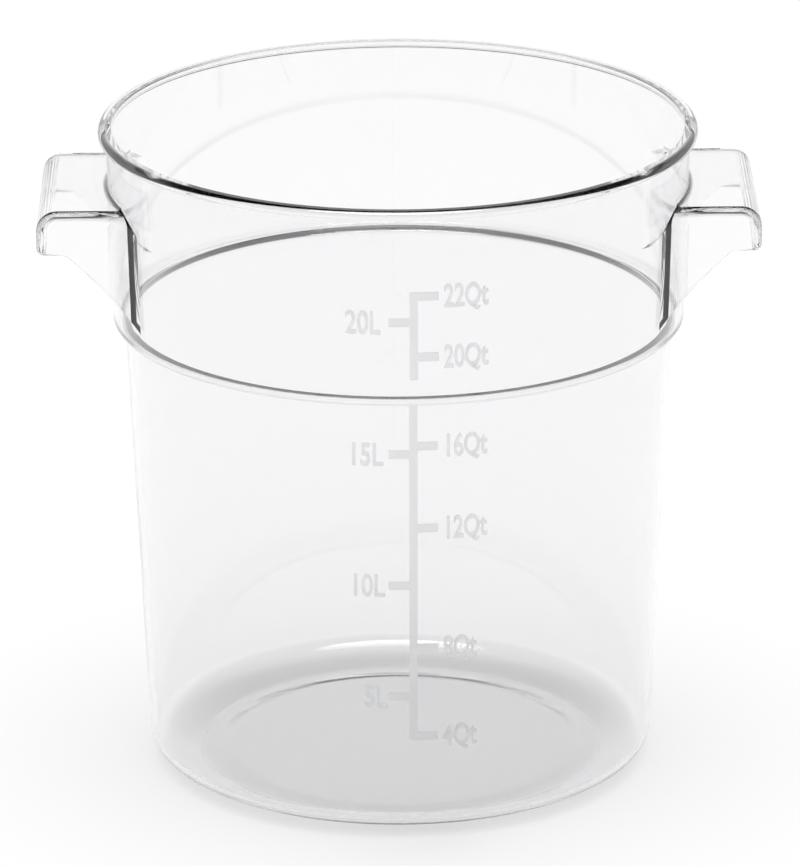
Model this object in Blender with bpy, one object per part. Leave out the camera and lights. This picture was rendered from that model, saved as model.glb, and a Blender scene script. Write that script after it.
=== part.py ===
"""Clear round food storage container, moulded in one piece.

A tapered pot widens at an inward step into a straight collar with a flat rim. Below its rounded heel
the bottom slopes in to a narrow ring that the pot stands on. A hollow grip stands out from the collar
on each side, and a measuring scale is raised on the inside of the front wall. The pot stands on the
ground plane, its axis is Z, the grips lie along X and the front faces -Y.
"""

import math

import bmesh
import bpy
from mathutils import Matrix, Vector

# Pot: overall sizes, and how finely its round forms are divided
pot_height = 0.3718
rim_radius = 0.1667
wall = 0.0033
turned_sides = 96
sides_per_quarter = 4
fine_sides_per_quarter = 2
fine_fillet = 0.0020

# Rim: a flat flange that a lid sits on, its underside sloping down to the collar
rim_overhang = 0.0042
rim_depth = 0.0046
rim_root_drop = 0.0049
rim_top_fillet = 0.0030
rim_edge_fillet = 0.0008
rim_root_fillet = 0.0012
mouth_fillet = 0.0012

# Collar: the wide top part, from the rim down to the step
collar_height = 0.1120
collar_draft = 0.0028
collar_foot_fillet = 0.0025
collar_foot_height = pot_height - collar_height
collar_top_radius = rim_radius - rim_overhang
collar_foot_radius = collar_top_radius - collar_draft

# Step: the ledge that joins the collar to the body
step_width = 0.0065
ledge_thickness = 0.0035
ledge_fillet = 0.0009
ledge_height = collar_foot_height + ledge_thickness

# Body: the tapered part below the step, with a rounded heel
body_draft = 0.0109
body_root_fillet = 0.0020
heel_fillet = 0.0115
heel_height = 0.0075
body_top_radius = collar_foot_radius - step_width
body_foot_radius = body_top_radius - body_draft

# Foot: the bottom slopes from the heel down to a flat ring, and is a little recessed inside it
foot_inset = 0.0288
foot_edge_fillet = 0.0010
foot_ring_width = 0.0080
recess_depth = 0.0005
recess_slope = 0.0010
floor_fillet = 0.0200
foot_radius = body_foot_radius - foot_inset

# Grips: a top plate, a turned-down lip and two end webs, open underneath. The webs run into the
# collar on a wide fillet that fades out towards the top of the plate.
grip_overhang = 0.0330
grip_half_width = 0.0563
grip_drop = 0.0337
grip_thickness = 0.0035
web_thickness = 0.0028
lip_thickness = 0.0038
lip_height = 0.0255
shoulder_fillet = 0.0115
lip_foot_fillet = 0.0040
grip_edge_fillet = 0.0028
grip_edge_segments = 3
finger_fillet = 0.0020
finger_segments = 2
web_foot_run = 0.0167
web_foot_slope_share = 1.035
web_flare = 0.0370
flare_fade = 0.0090
flare_bite = 0.0002
flare_cuts = 6
fade_cuts = 4
grip_reach = rim_radius + grip_overhang
grip_top = pot_height - grip_drop
lip_foot = grip_top - lip_height
web_foot_reach = grip_reach - web_foot_run

# Measuring scale: stems and ticks raised on the inside of the wall. The shares run up the collar
# from the ledge to the top, and up the body from the ground to the ledge.
mark_gap = 0.0003
mark_thickness = 0.0005
stem_turn = math.radians(2.35)
stem_width = 0.0045
tick_height = 0.0048
quart_tick_reach = 0.0112
litre_tick_reach = 0.0113
collar_stem_foot_share = 0.104
collar_quart_shares = (0.544, 0.224)
collar_litre_shares = (0.407,)
body_stem_top_share = 0.984
body_quart_shares = (0.888, 0.7045, 0.435, 0.234)
body_litre_shares = (0.870, 0.576, 0.3255)

# Clearance between solids that are one moulding on the real pot, and the overrun of every cutter
joint_gap = 0.0003
overrun = 0.010

# Points closer than this are one point, and edges sharper than these stay crisp or get rounded
merge_distance = 0.000001
crisp_angle = math.radians(35)
corner_angle = math.radians(60)


def clear_scene():
    for thing in list(bpy.data.objects):
        bpy.data.objects.remove(thing, do_unlink=True)


def make_material(name, colour, roughness, transmission, refraction):
    material = bpy.data.materials.new(name)
    material.use_nodes = True
    shader = material.node_tree.nodes["Principled BSDF"]
    shader.inputs["Base Color"].default_value = colour
    shader.inputs["Metallic"].default_value = 0.0
    shader.inputs["Roughness"].default_value = roughness
    shader.inputs["IOR"].default_value = refraction
    shader.inputs["Transmission Weight"].default_value = transmission
    material.diffuse_color = colour
    return material


def make_object(name, form, material):
    """Close the bmesh into a named object with smooth faces and crisp corners."""
    bmesh.ops.remove_doubles(form, verts=form.verts, dist=merge_distance)
    bmesh.ops.recalc_face_normals(form, faces=form.faces)
    mesh = bpy.data.meshes.new(name)
    form.to_mesh(mesh)
    form.free()
    mesh.materials.append(material)
    mesh.shade_smooth()
    mesh.set_sharp_from_angle(angle=crisp_angle)
    thing = bpy.data.objects.new(name, mesh)
    bpy.context.scene.collection.objects.link(thing)
    return thing


def make_cutter(name, form, material):
    cutter = make_object(name, form, material)
    cutter.hide_render = True
    cutter.display_type = "WIRE"
    return cutter


def rounded(corners):
    """Points of an outline whose corners, (across, up, fillet), are rounded by their fillets."""
    points = []
    for index, (across, up, fillet) in enumerate(corners):
        here = Vector((across, up))
        if fillet == 0 or index in (0, len(corners) - 1):
            points.append(here)
            continue
        back = (Vector(corners[index - 1][:2]) - here).normalized()
        ahead = (Vector(corners[index + 1][:2]) - here).normalized()
        half = back.angle(ahead) / 2
        start = here + back * fillet / math.tan(half)
        centre = here + (back + ahead).normalized() * fillet / math.sin(half)
        turn = math.pi - 2 * half
        if back.cross(ahead) > 0:
            turn = -turn
        sides = fine_sides_per_quarter if fillet <= fine_fillet else sides_per_quarter
        steps = max(1, round(sides * abs(turn) / math.radians(90)))
        spoke = start - centre
        for step in range(steps + 1):
            points.append(centre + Matrix.Rotation(turn * step / steps, 2) @ spoke)
    return points


def turned(outline):
    """The outline, (radius, height), turned once round the Z axis."""
    form = bmesh.new()
    ring = [form.verts.new((point.x, 0, point.y)) for point in outline]
    edges = [form.edges.new(pair) for pair in zip(ring, ring[1:])]
    bmesh.ops.spin(
        form,
        geom=ring + edges,
        cent=(0, 0, 0),
        axis=(0, 0, 1),
        angle=math.radians(360),
        steps=turned_sides,
        use_merge=True,
    )
    return form


def prism(outline, half_width):
    """The outline, (x, z), as a solid that reaches half_width to each side along Y."""
    form = bmesh.new()
    near = [form.verts.new((point.x, -half_width, point.y)) for point in outline]
    face = form.faces.new(near)
    grown = bmesh.ops.extrude_face_region(form, geom=[face])
    far = [item for item in grown["geom"] if isinstance(item, bmesh.types.BMVert)]
    bmesh.ops.translate(form, verts=far, vec=(0, 2 * half_width, 0))
    bmesh.ops.recalc_face_normals(form, faces=form.faces)
    return form


def round_end_edges(form, lowest, innermost, fillet, segments):
    """Round the edges of a prism's two ends, above a height and beyond a reach."""
    picked = []
    for edge in form.edges:
        first, second = (vert.co for vert in edge.verts)
        on_one_end = first.y * second.y > 0
        above = min(first.z, second.z) > lowest
        beyond = max(first.x, second.x) > innermost
        if on_one_end and above and beyond and edge.calc_face_angle(0) > corner_angle:
            picked.append(edge)
    bmesh.ops.bevel(
        form,
        geom=picked,
        offset=fillet,
        segments=segments,
        profile=0.5,
        affect="EDGES",
        material=-1,
    )


def collar_radius(height):
    """Outer radius of the collar at a height, on its straight taper."""
    return collar_foot_radius + collar_draft * (height - collar_foot_height) / collar_height


def body_radius(height):
    """Outer radius of the body at a height, on its straight taper."""
    share = (height - heel_height) / (collar_foot_height - heel_height)
    return body_foot_radius + body_draft * share


def inside_radius(height):
    """Radius of the inner wall at a height, above or below the ledge."""
    if height > ledge_height:
        return collar_radius(height) - wall
    return body_radius(height) - wall


def make_pot(material):
    """The foot, heel, body, step, collar and rim, then down the inside to the floor."""
    rim_root = pot_height - rim_depth - rim_root_drop
    ring_inner = foot_radius - foot_ring_width
    heel_slope = math.atan2(heel_height, foot_inset)
    heel_inside = heel_height + wall / math.cos(heel_slope) - wall * math.tan(heel_slope)
    floor_edge = foot_radius - wall * math.tan(heel_slope / 2)
    outline = rounded(
        [
            (0, recess_depth, 0),
            (ring_inner - recess_slope, recess_depth, 0),
            (ring_inner, 0, 0),
            (foot_radius, 0, foot_edge_fillet),
            (body_foot_radius, heel_height, heel_fillet),
            (body_top_radius, collar_foot_height, body_root_fillet),
            (collar_foot_radius, collar_foot_height, collar_foot_fillet),
            (collar_radius(rim_root), rim_root, rim_root_fillet),
            (rim_radius, pot_height - rim_depth, rim_edge_fillet),
            (rim_radius, pot_height, rim_top_fillet),
            (collar_top_radius - wall, pot_height, mouth_fillet),
            (collar_radius(ledge_height) - wall, ledge_height, ledge_fillet),
            (body_radius(ledge_height) - wall, ledge_height, ledge_fillet),
            (body_radius(heel_inside) - wall, heel_inside, heel_fillet - wall),
            (floor_edge, wall, floor_fillet),
            (0, wall, 0),
        ]
    )
    return make_object("container_shell", turned(outline), material)


def flare_plan(height):
    """Where a web's fillet starts at a height, and where it ends just inside the collar's wall."""
    collar_reach = collar_radius(height)
    centre_reach = collar_reach + web_flare - flare_bite
    start = math.sqrt(centre_reach**2 - (grip_half_width + web_flare) ** 2)
    return start, start * collar_reach / centre_reach


def spread_ends(form, radius):
    """Spread a prism's two ends on a fillet of this radius that runs into the tapered collar."""
    top_start, top_root = flare_plan(grip_top)
    reach = top_start - top_root
    across = [top_start - reach * cut / flare_cuts for cut in range(flare_cuts + 1)]
    down = [grip_top - flare_fade * cut / fade_cuts for cut in range(1, fade_cuts + 1)]
    cuts = [((x, 0, 0), (1, 0, 0)) for x in across] + [((0, 0, z), (0, 0, 1)) for z in down]
    for place, normal in cuts:
        everything = form.verts[:] + form.edges[:] + form.faces[:]
        bmesh.ops.bisect_plane(form, geom=everything, plane_co=place, plane_no=normal)
    for vert in form.verts:
        start, root = flare_plan(vert.co.z)
        share = (top_start - vert.co.x) / reach
        run = (start - root) * min(max(share, 0.0), 1.0)
        fade = min(max(grip_top - vert.co.z, 0.0) / flare_fade, 1.0)
        spread = (radius - math.sqrt(radius**2 - run**2)) * fade * (2 - fade)
        if share > -merge_distance:
            vert.co.x += start - run - max(vert.co.x, top_root)
        vert.co.y += math.copysign(spread, vert.co.y)
    bmesh.ops.triangulate(form, faces=form.faces)


def grip_block(root, web_root):
    """The grip's outer form before it is hollowed, with its webs spread at the collar."""
    outline = rounded(
        [
            (root, grip_top, 0),
            (grip_reach, grip_top, shoulder_fillet),
            (grip_reach, lip_foot, lip_foot_fillet),
            (web_foot_reach, lip_foot, 0),
            (root, web_root, 0),
        ]
    )
    form = prism(outline, grip_half_width)
    lowest = lip_foot - merge_distance
    round_end_edges(form, lowest, root + merge_distance, grip_edge_fillet, grip_edge_segments)
    spread_ends(form, web_flare)
    return form


def finger_space(root, web_root):
    """The hollow under the plate, between the webs and behind the lip."""
    ceiling = grip_top - grip_thickness
    below = web_root - overrun
    behind = root - overrun
    before = grip_reach - lip_thickness
    outline = rounded(
        [
            (behind, ceiling, 0),
            (before, ceiling, shoulder_fillet - lip_thickness),
            (before, below, 0),
            (behind, below, 0),
        ]
    )
    form = prism(outline, grip_half_width - web_thickness)
    round_end_edges(form, below, behind, finger_fillet, finger_segments)
    spread_ends(form, web_flare + web_thickness)
    return form


def collar_space():
    """The room that the collar takes, plus the joint gap, as a cutter for the grips."""
    low = collar_foot_height - overrun
    high = pot_height + overrun
    outline = [
        Vector((0, low)),
        Vector((collar_radius(low) + joint_gap, low)),
        Vector((collar_radius(high) + joint_gap, high)),
        Vector((0, high)),
    ]
    return turned(outline)


def make_grip(name, turn, material):
    """One grip on the +X side, cut to the collar and hollowed, then turned to its place."""
    root = flare_plan(grip_top)[1]
    web_root = lip_foot - web_foot_slope_share * (web_foot_reach - root)
    grip = make_object(name, grip_block(root, web_root), material)
    cutters = (
        make_cutter(name + "_collar_space", collar_space(), material),
        make_cutter(name + "_finger_space", finger_space(root, web_root), material),
    )
    around = Matrix.Rotation(turn, 4, "Z")
    grip.data.transform(around)
    for cutter in cutters:
        cutter.data.transform(around)
        cut = grip.modifiers.new(cutter.name, "BOOLEAN")
        cut.operation = "DIFFERENCE"
        cut.solver = "EXACT"
        cut.object = cutter
    return grip


def on_inside_wall(along, depth, height):
    """A point on the front of the inner wall, along the wall from the stem and depth off it."""
    radius = inside_radius(height) - depth
    angle = stem_turn + along / inside_radius(height)
    return Vector((radius * math.sin(angle), -radius * math.cos(angle), height))


def make_scale(name, stem_ends, quart_ticks, litre_ticks, material):
    """A stem with quart ticks on its right and litre ticks on its left, wrapped on the wall."""
    stem_side = stem_width / 2
    tick_side = tick_height / 2
    columns = (
        (-stem_side - litre_tick_reach, -stem_side, litre_ticks),
        (-stem_side, stem_side, None),
        (stem_side, stem_side + quart_tick_reach, quart_ticks),
    )
    ticks = quart_ticks + litre_ticks
    levels = list(stem_ends)
    levels += [tick - tick_side for tick in ticks]
    levels += [tick + tick_side for tick in ticks]
    levels = sorted(set(levels))
    form = bmesh.new()
    for low, high in zip(levels, levels[1:]):
        middle = (low + high) / 2
        for left, right, column_ticks in columns:
            if column_ticks is not None:
                nearest = min(abs(middle - tick) for tick in column_ticks)
                if nearest > tick_side:
                    continue
            corners = ((left, low), (right, low), (right, high), (left, high))
            form.faces.new([form.verts.new((along, 0, up)) for along, up in corners])
    bmesh.ops.remove_doubles(form, verts=form.verts, dist=merge_distance)
    grown = bmesh.ops.extrude_face_region(form, geom=form.faces[:])
    raised = {item for item in grown["geom"] if isinstance(item, bmesh.types.BMVert)}
    for vert in form.verts:
        depth = mark_gap + mark_thickness if vert in raised else mark_gap
        vert.co = on_inside_wall(vert.co.x, depth, vert.co.z)
    return make_object(name, form, material)


def make_scales(material):
    """One scale above the ledge and one below it, their stem ends flush with the end ticks."""
    span = pot_height - ledge_height
    quarts = [ledge_height + share * span for share in collar_quart_shares]
    litres = [ledge_height + share * span for share in collar_litre_shares]
    foot = ledge_height + collar_stem_foot_share * span
    make_scale("scale_upper", (foot, max(quarts) + tick_height / 2), quarts, litres, material)
    quarts = [share * ledge_height for share in body_quart_shares]
    litres = [share * ledge_height for share in body_litre_shares]
    top = body_stem_top_share * ledge_height
    make_scale("scale_lower", (min(quarts) - tick_height / 2, top), quarts, litres, material)


def build():
    clear_scene()
    clear_plastic = make_material("clear_plastic", (0.93, 0.95, 0.96, 1.0), 0.06, 0.9, 1.585)
    frosted_marks = make_material("frosted_marks", (0.80, 0.81, 0.82, 1.0), 0.55, 0.0, 1.585)
    make_pot(clear_plastic)
    make_grip("handle_right", 0, clear_plastic)
    make_grip("handle_left", math.pi, clear_plastic)
    make_scales(frosted_marks)


build()
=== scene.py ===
"""Clear round food storage container, dressed for the photograph's view.

The pot and its two hollow grips are one clear moulding, with a raised and frosted measuring scale
on the inside of the front wall. The script builds the moulding, then the scale with its numbers,
and then the studio.
"""

import math

import bmesh
import bpy
from mathutils import Matrix, Vector


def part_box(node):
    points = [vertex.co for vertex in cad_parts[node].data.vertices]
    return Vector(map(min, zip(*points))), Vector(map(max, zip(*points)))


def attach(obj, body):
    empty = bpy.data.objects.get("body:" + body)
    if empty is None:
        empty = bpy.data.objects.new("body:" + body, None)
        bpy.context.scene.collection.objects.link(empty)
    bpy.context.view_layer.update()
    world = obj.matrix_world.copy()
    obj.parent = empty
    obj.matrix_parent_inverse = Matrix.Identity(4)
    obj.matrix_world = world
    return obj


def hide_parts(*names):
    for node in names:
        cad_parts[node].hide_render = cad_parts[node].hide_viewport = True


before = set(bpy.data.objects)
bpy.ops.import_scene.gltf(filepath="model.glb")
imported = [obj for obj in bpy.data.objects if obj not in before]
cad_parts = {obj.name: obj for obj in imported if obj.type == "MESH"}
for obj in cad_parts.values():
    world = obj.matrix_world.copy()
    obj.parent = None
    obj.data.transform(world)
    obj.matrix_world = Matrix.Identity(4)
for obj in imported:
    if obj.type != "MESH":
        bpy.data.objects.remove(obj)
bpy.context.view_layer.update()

# Camera: a long lens, a little above the rim, looking at the pot from the front. It is turned a
# little to the right of the pot's front and is not quite level, as a hand-set camera is.
image_long_side = 866
focal_pixels = 7116.8
sensor_long_side = 36.0
camera_sight = 50.0
camera_distance = 4.0117
camera_elevation = math.radians(19.604)
camera_turn = math.radians(-0.599)
camera_roll = math.radians(-0.244)
aim_height = 0.1882
aim_aside = 0.0005
lens = bpy.data.cameras.new("camera")
lens.sensor_width = sensor_long_side
lens.lens = focal_pixels / image_long_side * sensor_long_side
lens.clip_end = camera_sight
camera = bpy.data.objects.new("camera", lens)
bpy.context.scene.collection.objects.link(camera)
camera.matrix_world = (
    Matrix.Rotation(camera_turn, 4, "Z")
    @ Matrix.Translation((aim_aside, 0, aim_height))
    @ Matrix.Rotation(math.radians(90) - camera_elevation, 4, "X")
    @ Matrix.Translation((0, 0, camera_distance))
    @ Matrix.Rotation(camera_roll, 4, "Z")
)
bpy.context.scene.camera = camera

# Pot: one thin turned wall of clear polycarbonate, moulded in one shot. It has a low foot ring, a
# rounded heel, a tapered body, an inward step that a second pot rests on when they are stacked, a
# slightly tapered collar, and a flat rim that takes the lid.
pot_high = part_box("container_shell")[1]
pot_height = pot_high.z
rim_radius = pot_high.x
wall = 0.0033
rim_overhang = 0.0042
rim_depth = 0.0046
rim_root_fillet = 0.0008
rim_edge_fillet = 0.0004
rim_top_fillet = 0.0040
collar_height = 0.1120
collar_draft = 0.0028
step_width = 0.0065
step_root_fillet = 0.0020
step_edge_fillet = 0.0025
ledge_thickness = 0.0035
ledge_fillet = 0.0009
body_draft = 0.0109
heel_height = 0.0075
heel_fillet = 0.0115
bottom_fillet = 0.0200
foot_inset = 0.0288
foot_edge_fillet = 0.0010
foot_ring_width = 0.0080
recess_depth = 0.0005
recess_slope = 0.0080
recess_fillet = 0.0600
turned_sides = 288
fillet_segments = 8
collar_top_radius = rim_radius - rim_overhang
collar_foot_radius = collar_top_radius - collar_draft
collar_foot_height = pot_height - collar_height
ledge_height = collar_foot_height + ledge_thickness
body_top_radius = collar_foot_radius - step_width
body_foot_radius = body_top_radius - body_draft
foot_radius = body_foot_radius - foot_inset
merge_distance = 0.000001
crisp_angle = math.radians(35)

# The plastic is water-clear with a faint cool cast and a high gloss, a little duller in patches
# and very slightly wavy where the melt cooled against the mould. Shadow rays go through it with
# only a light tint, so that the floor below is shaded softly.
moulding_tint = (0.94, 0.94, 0.946, 1.0)
shadow_tint = (0.965, 0.965, 0.967, 1.0)
plastic_refraction = 1.585
clearest_roughness = 0.012
dullest_roughness = 0.045
dull_patch_scale = 9.0
dull_patch_detail = 3.0
dull_patch_low = 0.35
dull_patch_high = 0.75
wave_scale = 14.0
wave_detail = 1.0
wave_strength = 0.05
wave_height = 0.0004


def join_nodes(tree, links):
    """Link sockets given as (node, output name, node, input name or number)."""
    for source, output, target, entry in links:
        tree.links.new(source.outputs[output], target.inputs[entry])


def make_clear_plastic():
    material = bpy.data.materials.new("clear_polycarbonate")
    material.use_nodes = True
    tree = material.node_tree
    shader = tree.nodes["Principled BSDF"]
    shader.inputs["Base Color"].default_value = moulding_tint
    shader.inputs["IOR"].default_value = plastic_refraction
    shader.inputs["Transmission Weight"].default_value = 1.0
    place = tree.nodes.new("ShaderNodeTexCoord")
    patches = tree.nodes.new("ShaderNodeTexNoise")
    patches.inputs["Scale"].default_value = dull_patch_scale
    patches.inputs["Detail"].default_value = dull_patch_detail
    dullness = tree.nodes.new("ShaderNodeMapRange")
    dullness.inputs["From Min"].default_value = dull_patch_low
    dullness.inputs["From Max"].default_value = dull_patch_high
    dullness.inputs["To Min"].default_value = clearest_roughness
    dullness.inputs["To Max"].default_value = dullest_roughness
    waves = tree.nodes.new("ShaderNodeTexNoise")
    waves.inputs["Scale"].default_value = wave_scale
    waves.inputs["Detail"].default_value = wave_detail
    bump = tree.nodes.new("ShaderNodeBump")
    bump.inputs["Strength"].default_value = wave_strength
    bump.inputs["Distance"].default_value = wave_height
    path = tree.nodes.new("ShaderNodeLightPath")
    through = tree.nodes.new("ShaderNodeBsdfTransparent")
    through.inputs["Color"].default_value = shadow_tint
    mix = tree.nodes.new("ShaderNodeMixShader")
    join_nodes(
        tree,
        (
            (place, "Object", patches, "Vector"),
            (place, "Object", waves, "Vector"),
            (patches, "Fac", dullness, "Value"),
            (dullness, "Result", shader, "Roughness"),
            (waves, "Fac", bump, "Height"),
            (bump, "Normal", shader, "Normal"),
            (path, "Is Shadow Ray", mix, "Fac"),
            (shader, "BSDF", mix, 1),
            (through, "BSDF", mix, 2),
            (mix, "Shader", tree.nodes["Material Output"], "Surface"),
        ),
    )
    return material


def collar_radius(height):
    """Outer radius of the collar at a height."""
    share = (height - collar_foot_height) / collar_height
    return collar_foot_radius + collar_draft * share


def body_radius(height):
    """Outer radius of the body at a height."""
    share = (height - heel_height) / (collar_foot_height - heel_height)
    return body_foot_radius + body_draft * share


def outline_wire(corners):
    """A bmesh with the outline through corners (across, up, fillet) in XZ, its corners rounded."""
    form = bmesh.new()
    chain = [form.verts.new((across, 0, up)) for across, up, fillet in corners]
    for pair in zip(chain, chain[1:]):
        form.edges.new(pair)
    rounds = []
    for back, corner, ahead, (across, up, fillet) in zip(chain, chain[1:], chain[2:], corners[1:]):
        if fillet:
            half = (back.co - corner.co).angle(ahead.co - corner.co) / 2
            rounds.append((corner, fillet / math.tan(half)))
    for corner, reach in rounds:
        bmesh.ops.bevel(
            form,
            geom=[corner],
            offset=reach,
            segments=fillet_segments,
            profile=0.5,
            affect="VERTICES",
            material=-1,
            clamp_overlap=False,
        )
    return form


def finish_mesh(name, form, material):
    """Close the bmesh into a named object with smooth faces and crisp corners."""
    bmesh.ops.remove_doubles(form, verts=form.verts, dist=merge_distance)
    bmesh.ops.recalc_face_normals(form, faces=form.faces)
    mesh = bpy.data.meshes.new(name)
    form.to_mesh(mesh)
    form.free()
    mesh.materials.append(material)
    mesh.shade_smooth()
    mesh.set_sharp_from_angle(angle=crisp_angle)
    thing = bpy.data.objects.new(name, mesh)
    bpy.context.scene.collection.objects.link(thing)
    return thing


def turn_wire(form):
    """Turn a wire in XZ once round the Z axis."""
    bmesh.ops.spin(
        form,
        geom=form.verts[:] + form.edges[:],
        cent=(0, 0, 0),
        axis=(0, 0, 1),
        angle=math.radians(360),
        steps=turned_sides,
        use_merge=True,
    )
    return form


def make_pot():
    """The wall's outline from the middle of the foot's recess out, up, over the rim and back in."""
    rim_under = pot_height - rim_depth
    heel_slope = math.atan2(heel_height, body_foot_radius - foot_radius)
    heel_inside = heel_height + wall / math.cos(heel_slope) - wall * math.tan(heel_slope)
    bottom_radius = foot_radius - wall * math.tan(heel_slope / 2)
    ring_inner = foot_radius - foot_ring_width
    form = outline_wire(
        (
            (0, recess_depth, 0),
            (ring_inner - recess_slope, recess_depth, recess_fillet),
            (ring_inner, 0, recess_fillet),
            (foot_radius, 0, foot_edge_fillet),
            (body_foot_radius, heel_height, heel_fillet),
            (body_top_radius, collar_foot_height, step_root_fillet),
            (collar_foot_radius, collar_foot_height, step_edge_fillet),
            (collar_radius(rim_under), rim_under, rim_root_fillet),
            (rim_radius, rim_under, rim_edge_fillet),
            (rim_radius, pot_height, rim_top_fillet),
            (collar_top_radius - wall, pot_height, rim_edge_fillet),
            (collar_radius(ledge_height) - wall, ledge_height, ledge_fillet),
            (body_radius(ledge_height) - wall, ledge_height, ledge_fillet),
            (body_radius(heel_inside) - wall, heel_inside, heel_fillet - wall),
            (bottom_radius, wall, bottom_fillet),
            (0, wall, 0),
        )
    )
    return finish_mesh("clear_pot", turn_wire(form), clear_plastic)


clear_plastic = make_clear_plastic()
clear_pot = make_pot()

# Grips: on each side a flat plate with a turned-down lip and two webs, hollow underneath for the
# fingers. They are moulded with the pot, so here they are joined to its collar, the webs on wide
# fillets and the plate on a small one.
grip_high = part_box("handle_right")[1]
grip_reach = grip_high.x
grip_top = grip_high.z
grip_half_width = 0.0563
grip_thickness = 0.0035
web_thickness = 0.0028
lip_thickness = 0.0038
lip_height = 0.0255
shoulder_fillet = 0.0115
lip_foot_fillet = 0.0040
grip_edge_fillet = 0.0028
grip_edge_segments = 6
finger_fillet = 0.0020
finger_segments = 4
web_foot_run = 0.0167
web_foot_slope_share = 1.035
web_flare = 0.0370
flare_fade = 0.0090
flare_bite = 0.0002
flare_cuts = 20
fade_cuts = 10
root_fillet = 0.0030
root_seat = 0.00004
root_half_turn = math.radians(19.3)
root_steps = 31
corner_angle = math.radians(60)
overrun = 0.010
lip_foot = grip_top - lip_height
web_foot_reach = grip_reach - web_foot_run


def flare_plan(height):
    """Where a web's fillet starts at a height, and where it ends just inside the collar's wall."""
    collar_reach = collar_radius(height)
    centre_reach = collar_reach + web_flare - flare_bite
    start = math.sqrt(centre_reach**2 - (grip_half_width + web_flare) ** 2)
    return start, start * collar_reach / centre_reach


grip_start, grip_root = flare_plan(grip_top)


def web_foot_height(reach):
    """Height of the webs' sloping lower edge, from its start behind the lip to this reach."""
    return lip_foot - web_foot_slope_share * (web_foot_reach - reach)


def grip_prism(corners, half_width):
    """The closed outline as a solid that reaches half_width to each side along Y."""
    form = outline_wire(corners)
    bmesh.ops.remove_doubles(form, verts=form.verts, dist=merge_distance)
    bmesh.ops.contextual_create(form, geom=form.edges[:])
    bmesh.ops.translate(form, verts=form.verts, vec=(0, -half_width, 0))
    grown = bmesh.ops.extrude_face_region(form, geom=form.faces[:])
    far = [item for item in grown["geom"] if isinstance(item, bmesh.types.BMVert)]
    bmesh.ops.translate(form, verts=far, vec=(0, 2 * half_width, 0))
    bmesh.ops.recalc_face_normals(form, faces=form.faces)
    return form


def round_ends(form, lowest, innermost, fillet, segments):
    """Round the edges of a prism's two ends, above a height and beyond a reach."""
    picked = []
    for edge in form.edges:
        first, second = (vert.co for vert in edge.verts)
        on_one_end = first.y * second.y > 0
        above = min(first.z, second.z) > lowest
        beyond = max(first.x, second.x) > innermost
        if on_one_end and above and beyond and edge.calc_face_angle(0) > corner_angle:
            picked.append(edge)
    bmesh.ops.bevel(
        form,
        geom=picked,
        offset=fillet,
        segments=segments,
        profile=0.5,
        affect="EDGES",
        material=-1,
    )


def flare_ends(form, radius):
    """Spread a prism's two ends on a fillet of this radius that runs into the tapered collar."""
    reach = grip_start - grip_root
    across = [grip_start - reach * cut / flare_cuts for cut in range(flare_cuts + 1)]
    down = [grip_top - flare_fade * cut / fade_cuts for cut in range(1, fade_cuts + 1)]
    cuts = [((x, 0, 0), (1, 0, 0)) for x in across] + [((0, 0, z), (0, 0, 1)) for z in down]
    for place, normal in cuts:
        everything = form.verts[:] + form.edges[:] + form.faces[:]
        bmesh.ops.bisect_plane(form, geom=everything, plane_co=place, plane_no=normal)
    for vert in form.verts:
        start, root = flare_plan(vert.co.z)
        share = (grip_start - vert.co.x) / reach
        run = (start - root) * min(max(share, 0.0), 1.0)
        fade = min(max(grip_top - vert.co.z, 0.0) / flare_fade, 1.0)
        spread = (radius - math.sqrt(radius**2 - run**2)) * fade * (2 - fade)
        if share > -merge_distance:
            vert.co.x += start - run - max(vert.co.x, grip_root)
        vert.co.y += math.copysign(spread, vert.co.y)
    bmesh.ops.triangulate(form, faces=form.faces)


def make_grip_block():
    """The grip's outer form, with its webs spread on a fillet where they run into the collar."""
    form = grip_prism(
        (
            (grip_root, grip_top, 0),
            (grip_reach, grip_top, shoulder_fillet),
            (grip_reach, lip_foot, lip_foot_fillet),
            (web_foot_reach, lip_foot, 0),
            (grip_root, web_foot_height(grip_root), 0),
            (grip_root, grip_top, 0),
        ),
        grip_half_width,
    )
    round_ends(
        form,
        lip_foot - merge_distance,
        grip_root + merge_distance,
        grip_edge_fillet,
        grip_edge_segments,
    )
    flare_ends(form, web_flare)
    return finish_mesh("grip_block", form, clear_plastic)


def make_finger_space():
    """The hollow under the plate, between the webs and behind the lip."""
    ceiling = grip_top - grip_thickness
    behind = grip_root - overrun
    before = grip_reach - lip_thickness
    below = web_foot_height(grip_root) - overrun
    form = grip_prism(
        (
            (behind, ceiling, 0),
            (before, ceiling, shoulder_fillet - lip_thickness),
            (before, below, 0),
            (behind, below, 0),
            (behind, ceiling, 0),
        ),
        grip_half_width - web_thickness,
    )
    round_ends(form, below, behind, finger_fillet, finger_segments)
    flare_ends(form, web_flare + web_thickness)
    return finish_mesh("finger_space", form, clear_plastic)


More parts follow.
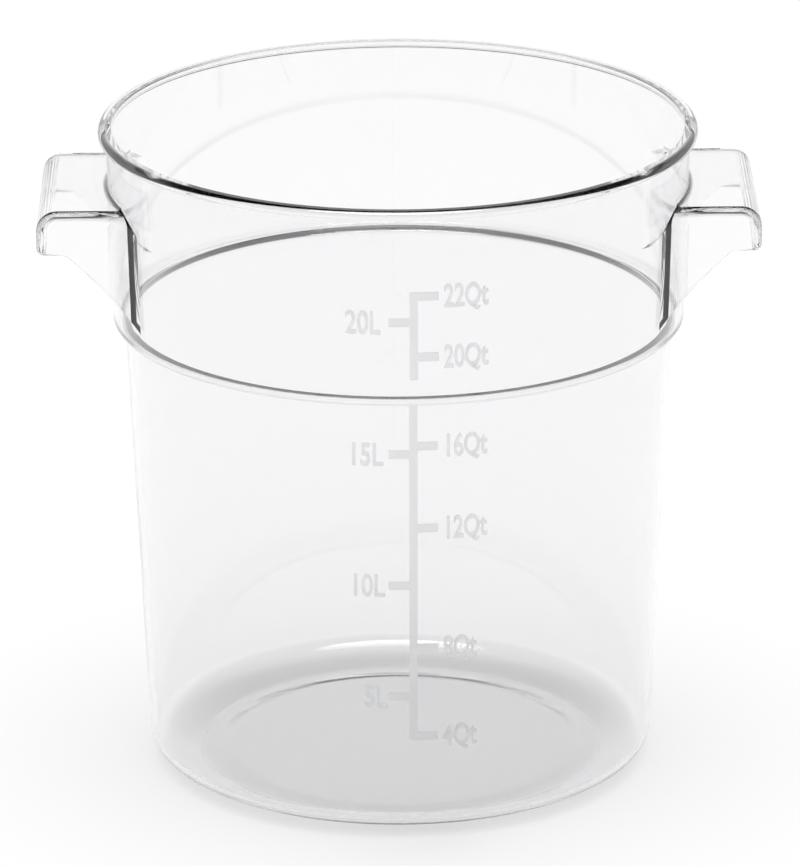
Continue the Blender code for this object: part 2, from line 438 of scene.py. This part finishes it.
def make_root_fillet():
    """The concave fillet where the plate's top meets the collar, a little inside both of them."""
    corner = collar_radius(grip_top) - root_seat
    level = grip_top - root_seat
    arm = root_fillet + root_seat
    form = outline_wire(
        (
            (corner - wall / 3, level - root_fillet / 2, 0),
            (corner + arm, level - root_fillet / 2, 0),
            (corner + arm, level, 0),
            (corner, level, root_fillet),
            (corner, level + arm, 0),
            (corner - wall / 3, level + arm, 0),
            (corner - wall / 3, level - root_fillet / 2, 0),
        )
    )
    bmesh.ops.remove_doubles(form, verts=form.verts, dist=merge_distance)
    bmesh.ops.contextual_create(form, geom=form.edges[:])
    start = Matrix.Rotation(-root_half_turn, 3, "Z")
    bmesh.ops.rotate(form, verts=form.verts, cent=(0, 0, 0), matrix=start)
    bmesh.ops.spin(
        form,
        geom=form.verts[:] + form.edges[:] + form.faces[:],
        cent=(0, 0, 0),
        axis=(0, 0, 1),
        angle=2 * root_half_turn,
        steps=root_steps,
    )
    return finish_mesh("root_fillet", form, clear_plastic)


def make_collar_core():
    """The room inside the middle of the collar's wall, which a grip's root stops at."""
    low = collar_foot_height - overrun
    high = pot_height + overrun
    form = outline_wire(
        (
            (0, low, 0),
            (collar_radius(low) - wall / 2, low, 0),
            (collar_radius(high) - wall / 2, high, 0),
            (0, high, 0),
        )
    )
    return finish_mesh("collar_core", turn_wire(form), clear_plastic)


def combine(thing, tool, operation):
    """Apply one exact Boolean and keep the finished mesh on the same object."""
    joint = thing.modifiers.new(operation.lower(), "BOOLEAN")
    joint.operation = operation
    joint.solver = "EXACT"
    joint.object = tool
    depsgraph = bpy.context.evaluated_depsgraph_get()
    mesh = bpy.data.meshes.new_from_object(thing.evaluated_get(depsgraph))
    thing.modifiers.clear()
    thing.data = mesh


grip = make_grip_block()
finger_space = make_finger_space()
collar_core = make_collar_core()
root_fillet_form = make_root_fillet()
combine(grip, collar_core, "DIFFERENCE")
combine(grip, finger_space, "DIFFERENCE")
combine(grip, root_fillet_form, "UNION")
for side in ("right", "left"):
    combine(clear_pot, grip, "UNION")
    grip.data.transform(Matrix.Rotation(math.pi, 4, "Z"))
for spent in (grip, finger_space, collar_core, root_fillet_form):
    bpy.data.objects.remove(spent, do_unlink=True)
clear_pot.data.shade_smooth()
clear_pot.data.set_sharp_from_angle(angle=crisp_angle)
even = clear_pot.modifiers.new("even_shading", "WEIGHTED_NORMAL")
even.keep_sharp = True
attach(clear_pot, "root")
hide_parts("container_shell", "handle_left", "handle_right")

# Measuring scale: a stem with ticks for quarts on its right and litres on its left, and a number
# beside each tick. All of it is raised half a millimetre on the inside of the front wall and
# finely frosted, so it reads as a pale grey.
scale_turn = math.radians(2.35)
mark_gap = 0.0003
mark_thickness = 0.0005
mark_corner = 0.0004
mark_corner_segments = 3
stem_side = 0.00225
tick_side = 0.0024
quart_tick_end = 0.01345
litre_tick_end = -0.01355
wrap_cuts = 26
quart_number_start = 0.0162
quart_number_width = 0.615
litre_number_width = 0.70
number_size = 0.0184
number_weight = 0.022
number_rise_share = 0.345
number_curve_steps = 4
frosted_tint = (0.985, 0.985, 0.987, 1.0)
frosted_roughness = 0.45

# Heights of the stem's ends and of the ticks. Each number of litres also has its own start,
# because they stand to the left of their ticks and differ in width.
upper_stem = (0.2746, 0.3247)
upper_quarts = (("22Qt", 0.3223), ("20Qt", 0.2876))
upper_litres = (("20L", 0.3075, -0.0371),)
lower_stem = (0.0592, 0.2591)
lower_quarts = (("16Qt", 0.2337), ("12Qt", 0.1855), ("8Qt", 0.1145), ("4Qt", 0.0616))
lower_litres = (("15L", 0.2290, -0.0355), ("10L", 0.1517, -0.0348), ("5L", 0.0857, -0.0272))
measuring_scales = (
    ("scale_upper", upper_stem, upper_quarts, upper_litres, collar_radius),
    ("scale_lower", lower_stem, lower_quarts, lower_litres, body_radius),
)


def make_frosted():
    material = bpy.data.materials.new("frosted_scale")
    material.use_nodes = True
    shader = material.node_tree.nodes["Principled BSDF"]
    shader.inputs["Base Color"].default_value = frosted_tint
    shader.inputs["Roughness"].default_value = frosted_roughness
    shader.inputs["IOR"].default_value = plastic_refraction
    shader.inputs["Transmission Weight"].default_value = 1.0
    return material


def flat_marks(stem, quart_ticks, litre_ticks):
    """The stem and ticks as one flat shape in XZ, cut out of a single sheet and then raised."""
    form = bmesh.new()
    bmesh.ops.create_grid(form, x_segments=1, y_segments=1, size=0.5)
    wide = quart_tick_end - litre_tick_end
    tall = stem[1] - stem[0]
    place = Matrix.Translation((litre_tick_end + wide / 2, 0, stem[0] + tall / 2))
    stand = Matrix.Rotation(math.radians(90), 4, "X")
    size = Matrix.Diagonal((wide, tall, 1, 1))
    bmesh.ops.transform(form, matrix=place @ stand @ size, verts=form.verts)
    cuts = [((side, 0, 0), (1, 0, 0)) for side in (-stem_side, stem_side)]
    for tick in quart_ticks + litre_ticks:
        cuts += [((0, 0, tick + side), (0, 0, 1)) for side in (-tick_side, tick_side)]
    for spot, normal in cuts:
        everything = form.verts[:] + form.edges[:] + form.faces[:]
        bmesh.ops.bisect_plane(form, geom=everything, plane_co=spot, plane_no=normal)
    spare = []
    for face in form.faces:
        middle = face.calc_center_median()
        ticks = quart_ticks if middle.x > stem_side else litre_ticks
        beside_stem = abs(middle.x) > stem_side
        if beside_stem and min(abs(middle.z - tick) for tick in ticks) > tick_side:
            spare.append(face)
    bmesh.ops.delete(form, geom=spare, context="FACES")
    bmesh.ops.dissolve_limit(form, angle_limit=corner_angle, verts=form.verts, edges=form.edges)
    bmesh.ops.bevel(
        form,
        geom=form.verts[:],
        offset=mark_corner,
        segments=mark_corner_segments,
        profile=0.5,
        affect="VERTICES",
        material=-1,
    )
    grown = bmesh.ops.extrude_face_region(form, geom=form.faces[:])
    raised = [item for item in grown["geom"] if isinstance(item, bmesh.types.BMVert)]
    bmesh.ops.translate(form, verts=raised, vec=(0, mark_thickness, 0))
    for cut in range(1, wrap_cuts):
        spot = (litre_tick_end + wide * cut / wrap_cuts, 0, 0)
        everything = form.verts[:] + form.edges[:] + form.faces[:]
        bmesh.ops.bisect_plane(form, geom=everything, plane_co=spot, plane_no=(1, 0, 0))
    return form


def add_number(form, body, height, start, width):
    """Add a number as raised letters in XZ, its first letter at start and centred on height."""
    letters = bpy.data.curves.new(body, "FONT")
    letters.body = body
    letters.offset = number_weight
    letters.resolution_u = number_curve_steps
    letters.extrude = mark_thickness / 2 / number_size
    lettering = bpy.data.objects.new(body, letters)
    bpy.context.scene.collection.objects.link(lettering)
    depsgraph = bpy.context.evaluated_depsgraph_get()
    mesh = bpy.data.meshes.new_from_object(lettering.evaluated_get(depsgraph))
    bpy.data.objects.remove(lettering, do_unlink=True)
    foot = height - number_rise_share * number_size
    place = Matrix.Translation((start, mark_thickness / 2, foot))
    stand = Matrix.Rotation(math.radians(90), 4, "X")
    size = Matrix.Diagonal((number_size * width, number_size, number_size, 1))
    mesh.transform(place @ stand @ size)
    form.from_mesh(mesh)
    bpy.data.meshes.remove(mesh)


def make_scale(name, stem, quarts, litres, outside_radius):
    """One scale with its numbers, wrapped on the inside of the wall."""
    quart_ticks = [height for number, height in quarts]
    litre_ticks = [height for number, height, start in litres]
    form = flat_marks(stem, quart_ticks, litre_ticks)
    for number, height in quarts:
        add_number(form, number, height, quart_number_start, quart_number_width)
    for number, height, start in litres:
        add_number(form, number, height, start, litre_number_width)
    for vert in form.verts:
        radius = outside_radius(vert.co.z) - wall
        angle = scale_turn + vert.co.x / radius
        reach = radius - mark_gap - vert.co.y
        vert.co = Vector((reach * math.sin(angle), -reach * math.cos(angle), vert.co.z))
    return finish_mesh(name, form, frosted_plastic)


frosted_plastic = make_frosted()
for replaced, *values in measuring_scales:
    scale = make_scale("measuring_" + replaced, *values)
    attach(scale, "root")
    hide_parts(replaced)

# Studio floor: a wide white disc just under the foot ring, which keeps the pot's soft shadow. It
# glows a little for the rays that see the background, so that it shows there as plain white.
plain_white = (1, 1, 1, 1)
floor_white = (0.97, 0.97, 0.97, 1.0)
floor_size = 30.0
floor_sides = 64
floor_clearance = 0.0001
floor_glow_share = 0.22


def seen_background(tree):
    """A node whose value is 1 for the rays that should see the plain white background."""
    path = tree.nodes.new("ShaderNodeLightPath")
    seen_or_mirrored = tree.nodes.new("ShaderNodeMath")
    seen_or_mirrored.operation = "MAXIMUM"
    or_bent = tree.nodes.new("ShaderNodeMath")
    or_bent.operation = "MAXIMUM"
    join_nodes(
        tree,
        (
            (path, "Is Camera Ray", seen_or_mirrored, 0),
            (path, "Is Glossy Ray", seen_or_mirrored, 1),
            (seen_or_mirrored, "Value", or_bent, 0),
            (path, "Is Transmission Ray", or_bent, 1),
        ),
    )
    return or_bent


def make_floor_material():
    material = bpy.data.materials.new("studio_floor")
    material.use_nodes = True
    tree = material.node_tree
    tree.nodes.remove(tree.nodes["Principled BSDF"])
    diffuse = tree.nodes.new("ShaderNodeBsdfDiffuse")
    diffuse.inputs["Color"].default_value = floor_white
    glow = tree.nodes.new("ShaderNodeEmission")
    share = tree.nodes.new("ShaderNodeMath")
    share.operation = "MULTIPLY"
    share.inputs[1].default_value = floor_glow_share
    mix = tree.nodes.new("ShaderNodeMixShader")
    join_nodes(
        tree,
        (
            (seen_background(tree), "Value", share, 0),
            (share, "Value", mix, "Fac"),
            (diffuse, "BSDF", mix, 1),
            (glow, "Emission", mix, 2),
            (mix, "Shader", tree.nodes["Material Output"], "Surface"),
        ),
    )
    return material


def make_floor():
    form = bmesh.new()
    bmesh.ops.create_circle(form, cap_ends=True, segments=floor_sides, radius=floor_size)
    bmesh.ops.translate(form, verts=form.verts, vec=(0, 0, -floor_clearance))
    mesh = bpy.data.meshes.new("floor")
    form.to_mesh(mesh)
    form.free()
    mesh.materials.append(make_floor_material())
    thing = bpy.data.objects.new("floor", mesh)
    bpy.context.scene.collection.objects.link(thing)
    return thing


make_floor()

# World: an even light on the object, and plain white for the camera. What the plastic mirrors and
# bends is white low down and dark overhead, which draws its edges as thin dark lines.
world_strength = 0.40
white_up_to = 0.30
dark_from = 0.65
overhead_dark = (0.02, 0.02, 0.02, 1)


def make_world():
    world = bpy.data.worlds.new("studio")
    bpy.context.scene.world = world
    world.use_nodes = True
    tree = world.node_tree
    light = tree.nodes["Background"]
    light.inputs["Color"].default_value = plain_white
    light.inputs["Strength"].default_value = world_strength
    backdrop = tree.nodes.new("ShaderNodeBackground")
    backdrop.inputs["Color"].default_value = plain_white
    surroundings = tree.nodes.new("ShaderNodeBackground")
    place = tree.nodes.new("ShaderNodeTexCoord")
    split = tree.nodes.new("ShaderNodeSeparateXYZ")
    ramp = tree.nodes.new("ShaderNodeValToRGB")
    low, high = ramp.color_ramp.elements
    low.position = white_up_to
    low.color = plain_white
    high.position = dark_from
    high.color = overhead_dark
    path = tree.nodes.new("ShaderNodeLightPath")
    inner = tree.nodes.new("ShaderNodeMixShader")
    outer = tree.nodes.new("ShaderNodeMixShader")
    join_nodes(
        tree,
        (
            (place, "Generated", split, "Vector"),
            (split, "Z", ramp, "Fac"),
            (ramp, "Color", surroundings, "Color"),
            (seen_background(tree), "Value", inner, "Fac"),
            (light, "Background", inner, 1),
            (surroundings, "Background", inner, 2),
            (path, "Is Camera Ray", outer, "Fac"),
            (inner, "Shader", outer, 1),
            (backdrop, "Background", outer, 2),
            (outer, "Shader", tree.nodes["World Output"], "Surface"),
        ),
    )


make_world()

# Softbox: one wide round lamp high over the pot. Rays bent by the plastic don't see it, because
# its image would stand in the walls as white crescents.
softbox_size = 4.8
softbox_energy = 480.0
softbox_height = 8.0
softbox = bpy.data.lights.new("softbox", "AREA")
softbox.shape = "DISK"
softbox.size = softbox_size
softbox.energy = softbox_energy
softbox_stand = bpy.data.objects.new("softbox", softbox)
bpy.context.scene.collection.objects.link(softbox_stand)
softbox_stand.location = (0.0, 0.0, softbox_height)
softbox_stand.visible_transmission = False

# Light that enters the clear wall is reflected many times inside it before it leaves. Caustics
# stay off, because the shadow rays that pass through the plastic already bring that light.
most_bounces = 24
glossy_bounces = 16
light_paths = bpy.context.scene.cycles
light_paths.max_bounces = most_bounces
light_paths.glossy_bounces = glossy_bounces
light_paths.transmission_bounces = most_bounces
light_paths.caustics_reflective = False
light_paths.caustics_refractive = False
bpy.context.scene.view_settings.view_transform = "Standard"
